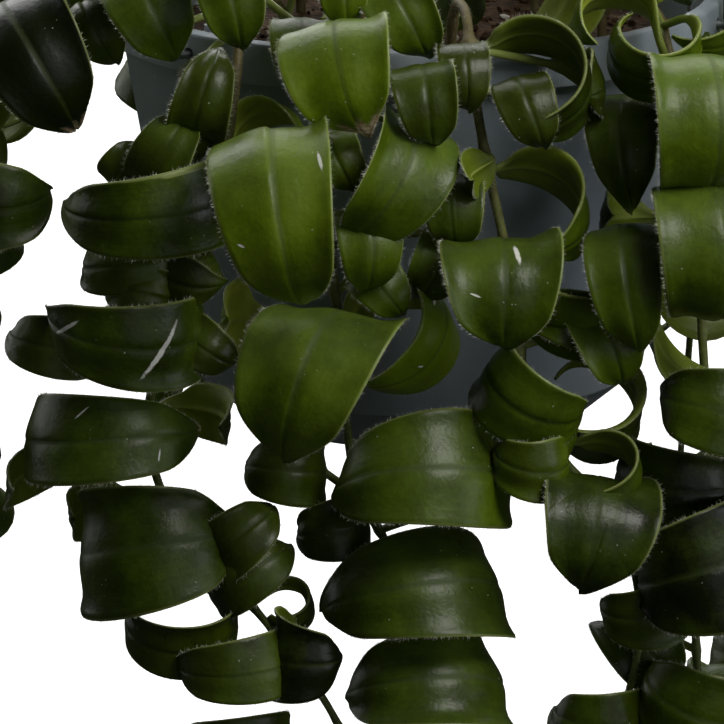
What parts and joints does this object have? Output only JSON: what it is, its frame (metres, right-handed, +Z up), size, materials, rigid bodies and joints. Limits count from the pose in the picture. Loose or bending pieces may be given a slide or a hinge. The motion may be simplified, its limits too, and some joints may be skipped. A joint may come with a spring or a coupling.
{
  "type": "potted lipstick plant",
  "caption": "Hanging tapered pot with a trailing plant whose thick waxy leaves curl into rings along stems that hang over the rim.",
  "frame": {"origin": "centre of the underside of the pot's base", "axes": "+Z up along the pot's axis, -Y towards the side that the picture shows, +X to the right seen from there"},
  "size_m": [0.2997, 0.2506, 0.5104],
  "materials": {
    "slate_plastic": "satin, faint scratches and specks",
    "potting_mix": "loose, damp, crumbly",
    "zinc_plated_steel": "semi-bright drawn wire",
    "waxy_leaf": "glossy, waxy, fine hairs on the margins"
  },
  "bodies": {
    "root": {"pot": "slate_plastic", "potting_mix": "potting_mix", "hanger_wire_1": "zinc_plated_steel", "hanger_wire_2": "zinc_plated_steel", "hanger_wire_3": "zinc_plated_steel", "hanger_ferrule": "zinc_plated_steel", "hanger_hook": "zinc_plated_steel", "stem_front_left": "waxy_leaf", "stem_front_centre": "waxy_leaf", "stem_front_right_centre": "waxy_leaf", "stem_front_right": "waxy_leaf", "stem_front_far_left": "waxy_leaf", "stem_side_right_1": "waxy_leaf", "stem_side_right_2": "waxy_leaf", "stem_side_right_3": "waxy_leaf", "stem_back_right_1": "waxy_leaf", "stem_back_right_2": "waxy_leaf", "stem_back_middle": "waxy_leaf", "stem_back_left_1": "waxy_leaf", "stem_back_left_2": "waxy_leaf", "stem_side_left_1": "waxy_leaf", "stem_side_left_2": "waxy_leaf", "stem_crown_1": "waxy_leaf", "stem_crown_2": "waxy_leaf", "stem_crown_3": "waxy_leaf"}
  },
  "joints": []
}
